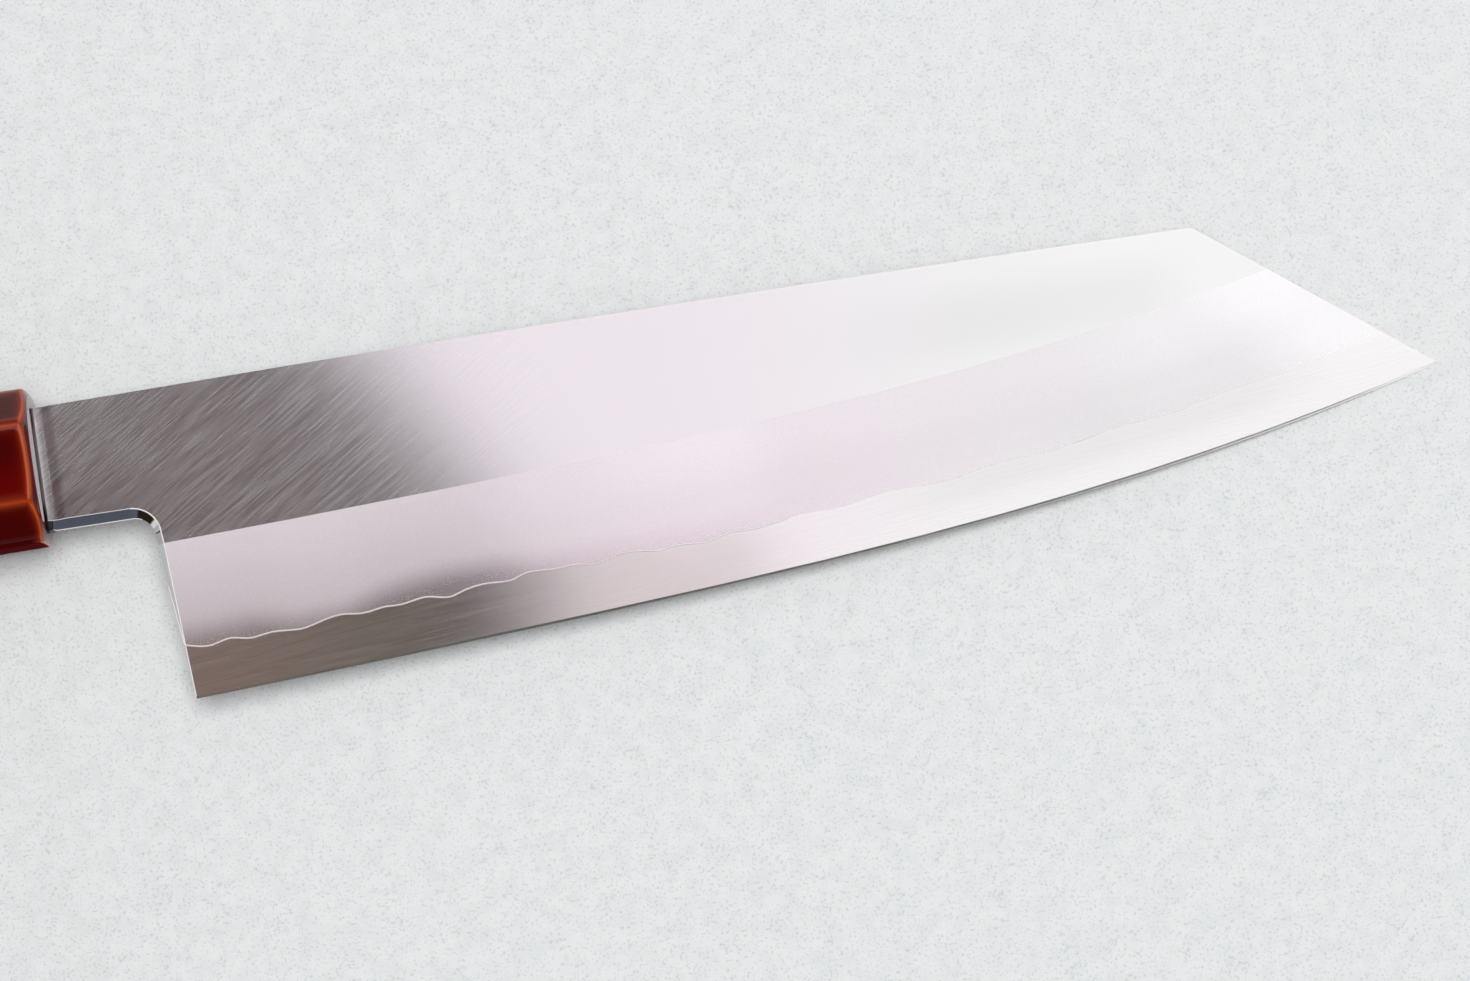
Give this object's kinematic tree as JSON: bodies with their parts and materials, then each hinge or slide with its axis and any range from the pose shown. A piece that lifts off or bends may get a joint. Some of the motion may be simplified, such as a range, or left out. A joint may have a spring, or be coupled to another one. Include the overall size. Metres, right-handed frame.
{
  "type": "kiritsuke kitchen knife",
  "caption": "Double-bevel kitchen knife with a clipped tip: laminated steel blade with a wide ground bevel, hidden tang, and a dark red lacquered octagonal wooden handle, lying on its side.",
  "frame": {"origin": "bottom centre of the whole knife as it lies on its left side", "axes": "+X runs from the handle to the tip, +Y from the cutting edge to the spine, +Z out of the blade's right face"},
  "size_m": [0.3262, 0.048, 0.0213],
  "materials": {
    "core_steel": "hard core steel, fine lines along the edge, darker than the jackets",
    "cladding_steel": "satin flats with fine slanting scratches, hazy wide bevels, polished choil",
    "lacquer_top": "glossy translucent brown lacquer, thin and orange at every ridge and rim",
    "lacquer_base": "vermilion under-lacquer",
    "handle_wood": "plain pale magnolia wood, hidden under the lacquer",
    "ferrule_horn": "dark horn, hidden under the lacquer",
    "bedding_resin": "dull dark resin"
  },
  "bodies": {
    "root": {"core_steel": "core_steel", "cladding_right": "cladding_steel", "cladding_left": "cladding_steel", "handle_core": "handle_wood", "ferrule": "ferrule_horn", "tang_bedding": "bedding_resin", "lacquer_base": "lacquer_base", "lacquer_top": "lacquer_top"}
  },
  "joints": []
}
